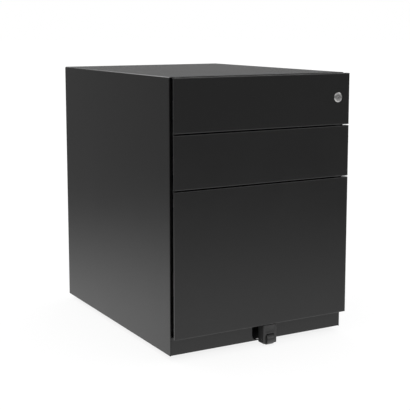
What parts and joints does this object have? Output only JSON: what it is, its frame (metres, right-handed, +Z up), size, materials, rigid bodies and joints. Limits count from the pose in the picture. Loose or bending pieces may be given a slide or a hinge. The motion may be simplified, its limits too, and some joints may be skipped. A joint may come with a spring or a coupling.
{
  "type": "filing cabinet",
  "caption": "Low mobile filing pedestal in folded sheet steel: full-width fronts pulled by their side edges, a cam lock, concealed castors and an anti-tilt wheel.",
  "frame": {"origin": "on the floor, under the middle of the object's box", "axes": "+Z up, drawers open towards -Y, +X to the right seen from the front"},
  "size_m": [0.42, 0.5668, 0.57],
  "materials": {
    "casing_paint": "fine textured powder coat, satin",
    "inner_paint": "powder coat, satin",
    "zinc_steel": "bright zinc plate",
    "ball_steel": "polished steel",
    "lock_chrome": "satin chrome",
    "black_plastic": "moulded, fine texture",
    "wheel_nylon": "moulded nylon"
  },
  "bodies": {
    "casing": {"outer_wrap": "casing_paint", "back_panel": "casing_paint", "base_pan": "inner_paint", "plinth": "casing_paint", "front_uprights": "inner_paint", "rear_uprights": "inner_paint", "top_front_rail": "inner_paint", "front_castor_rail": "inner_paint", "rear_castor_rail": "inner_paint", "castor_plates": "zinc_steel", "castor_rivets": "zinc_steel", "top_slide_case_members": "zinc_steel", "middle_slide_case_members": "zinc_steel", "filing_slide_case_members": "zinc_steel", "locking_bar_guides": "black_plastic"},
    "locking_bar": {"locking_bar": "inner_paint"},
    "top_drawer": {"top_drawer_front": "casing_paint", "top_drawer_front_pan": "inner_paint", "top_drawer_shell": "inner_paint", "top_drawer_back": "inner_paint", "top_slide_drawer_members": "zinc_steel", "top_drawer_fasteners": "zinc_steel", "lock_housing": "lock_chrome", "lock_nut": "zinc_steel"},
    "lock_plug": {"lock_plug": "lock_chrome", "lock_cam": "zinc_steel"},
    "middle_drawer": {"middle_drawer_front": "casing_paint", "middle_drawer_front_pan": "inner_paint", "middle_drawer_shell": "inner_paint", "middle_drawer_back": "inner_paint", "middle_slide_drawer_members": "zinc_steel", "middle_drawer_fasteners": "zinc_steel"},
    "filing_drawer": {"filing_drawer_front": "casing_paint", "filing_drawer_front_pan": "inner_paint", "filing_drawer_shell": "inner_paint", "filing_drawer_back": "inner_paint", "filing_slide_drawer_members": "zinc_steel", "filing_drawer_fasteners": "zinc_steel", "hanging_file_rails": "zinc_steel", "anti_tilt_bracket": "zinc_steel", "anti_tilt_housing": "black_plastic", "anti_tilt_axle": "zinc_steel"},
    "anti_tilt_wheel": {"anti_tilt_wheel": "wheel_nylon"},
    "top_ball_cages": {"top_slide_ball_cages": "ball_steel"},
    "middle_ball_cages": {"middle_slide_ball_cages": "ball_steel"},
    "filing_middle_members": {"filing_slide_middle_members": "zinc_steel"},
    "filing_outer_cages": {"filing_slide_outer_cages": "ball_steel"},
    "filing_inner_cages": {"filing_slide_inner_cages": "ball_steel"},
    "front_left_castor": {"front_left_fork": "zinc_steel", "front_left_axle": "zinc_steel"},
    "front_left_wheel": {"front_left_wheel": "wheel_nylon"},
    "front_right_castor": {"front_right_fork": "zinc_steel", "front_right_axle": "zinc_steel"},
    "front_right_wheel": {"front_right_wheel": "wheel_nylon"},
    "rear_left_castor": {"rear_left_fork": "zinc_steel", "rear_left_axle": "zinc_steel"},
    "rear_left_wheel": {"rear_left_wheel": "wheel_nylon"},
    "rear_right_castor": {"rear_right_fork": "zinc_steel", "rear_right_axle": "zinc_steel"},
    "rear_right_wheel": {"rear_right_wheel": "wheel_nylon"}
  },
  "joints": [
    {"name": "top_drawer_slide", "type": "slide", "parent": "casing", "child": "top_drawer", "axis": [0, -1, 0], "range_m": [0, 0.3]},
    {"name": "middle_drawer_slide", "type": "slide", "parent": "casing", "child": "middle_drawer", "axis": [0, -1, 0], "range_m": [0, 0.3]},
    {"name": "filing_drawer_slide", "type": "slide", "parent": "casing", "child": "filing_drawer", "axis": [0, -1, 0], "range_m": [0, 0.44]},
    {"name": "top_cages_slide", "type": "slide", "parent": "casing", "child": "top_ball_cages", "axis": [0, -1, 0], "range_m": [0, 0.15]},
    {"name": "middle_cages_slide", "type": "slide", "parent": "casing", "child": "middle_ball_cages", "axis": [0, -1, 0], "range_m": [0, 0.15]},
    {"name": "filing_members_slide", "type": "slide", "parent": "casing", "child": "filing_middle_members", "axis": [0, -1, 0], "range_m": [0, 0.22]},
    {"name": "filing_outer_cages_slide", "type": "slide", "parent": "casing", "child": "filing_outer_cages", "axis": [0, -1, 0], "range_m": [0, 0.11]},
    {"name": "filing_inner_cages_slide", "type": "slide", "parent": "casing", "child": "filing_inner_cages", "axis": [0, -1, 0], "range_m": [0, 0.33]},
    {"name": "lock_turn", "type": "hinge", "parent": "top_drawer", "child": "lock_plug", "pos_m": [0.18, -0.2816, 0.5185], "axis": [0, -1, 0], "range_deg": [0, 90]},
    {"name": "locking_bar_lift", "type": "slide", "parent": "casing", "child": "locking_bar", "axis": [0, 0, 1], "range_m": [0, 0.0115]},
    {"name": "front_left_swivel", "type": "hinge", "parent": "casing", "child": "front_left_castor", "pos_m": [-0.145, -0.1986, 0.046], "axis": [0, 0, 1], "continuous": true},
    {"name": "front_left_roll", "type": "hinge", "parent": "front_left_castor", "child": "front_left_wheel", "pos_m": [-0.145, -0.1836, 0.02], "axis": [1, 0, 0], "continuous": true},
    {"name": "front_right_swivel", "type": "hinge", "parent": "casing", "child": "front_right_castor", "pos_m": [0.145, -0.1986, 0.046], "axis": [0, 0, 1], "continuous": true},
    {"name": "front_right_roll", "type": "hinge", "parent": "front_right_castor", "child": "front_right_wheel", "pos_m": [0.145, -0.1836, 0.02], "axis": [1, 0, 0], "continuous": true},
    {"name": "rear_left_swivel", "type": "hinge", "parent": "casing", "child": "rear_left_castor", "pos_m": [-0.145, 0.2214, 0.046], "axis": [0, 0, 1], "continuous": true},
    {"name": "rear_left_roll", "type": "hinge", "parent": "rear_left_castor", "child": "rear_left_wheel", "pos_m": [-0.145, 0.2364, 0.02], "axis": [1, 0, 0], "continuous": true},
    {"name": "rear_right_swivel", "type": "hinge", "parent": "casing", "child": "rear_right_castor", "pos_m": [0.145, 0.2214, 0.046], "axis": [0, 0, 1], "continuous": true},
    {"name": "rear_right_roll", "type": "hinge", "parent": "rear_right_castor", "child": "rear_right_wheel", "pos_m": [0.145, 0.2364, 0.02], "axis": [1, 0, 0], "continuous": true},
    {"name": "anti_tilt_roll", "type": "hinge", "parent": "filing_drawer", "child": "anti_tilt_wheel", "pos_m": [0.0184, -0.2696, 0.0137], "axis": [1, 0, 0], "continuous": true}
  ],
  "couplings": [
    {"joint": "top_cages_slide", "follows": "top_drawer_slide", "ratio": 0.5},
    {"joint": "middle_cages_slide", "follows": "middle_drawer_slide", "ratio": 0.5},
    {"joint": "filing_members_slide", "follows": "filing_drawer_slide", "ratio": 0.5},
    {"joint": "filing_outer_cages_slide", "follows": "filing_drawer_slide", "ratio": 0.25},
    {"joint": "filing_inner_cages_slide", "follows": "filing_drawer_slide", "ratio": 0.75},
    {"joint": "lock_turn", "follows": "locking_bar_lift", "rad_per_m": 136.59}
  ]
}
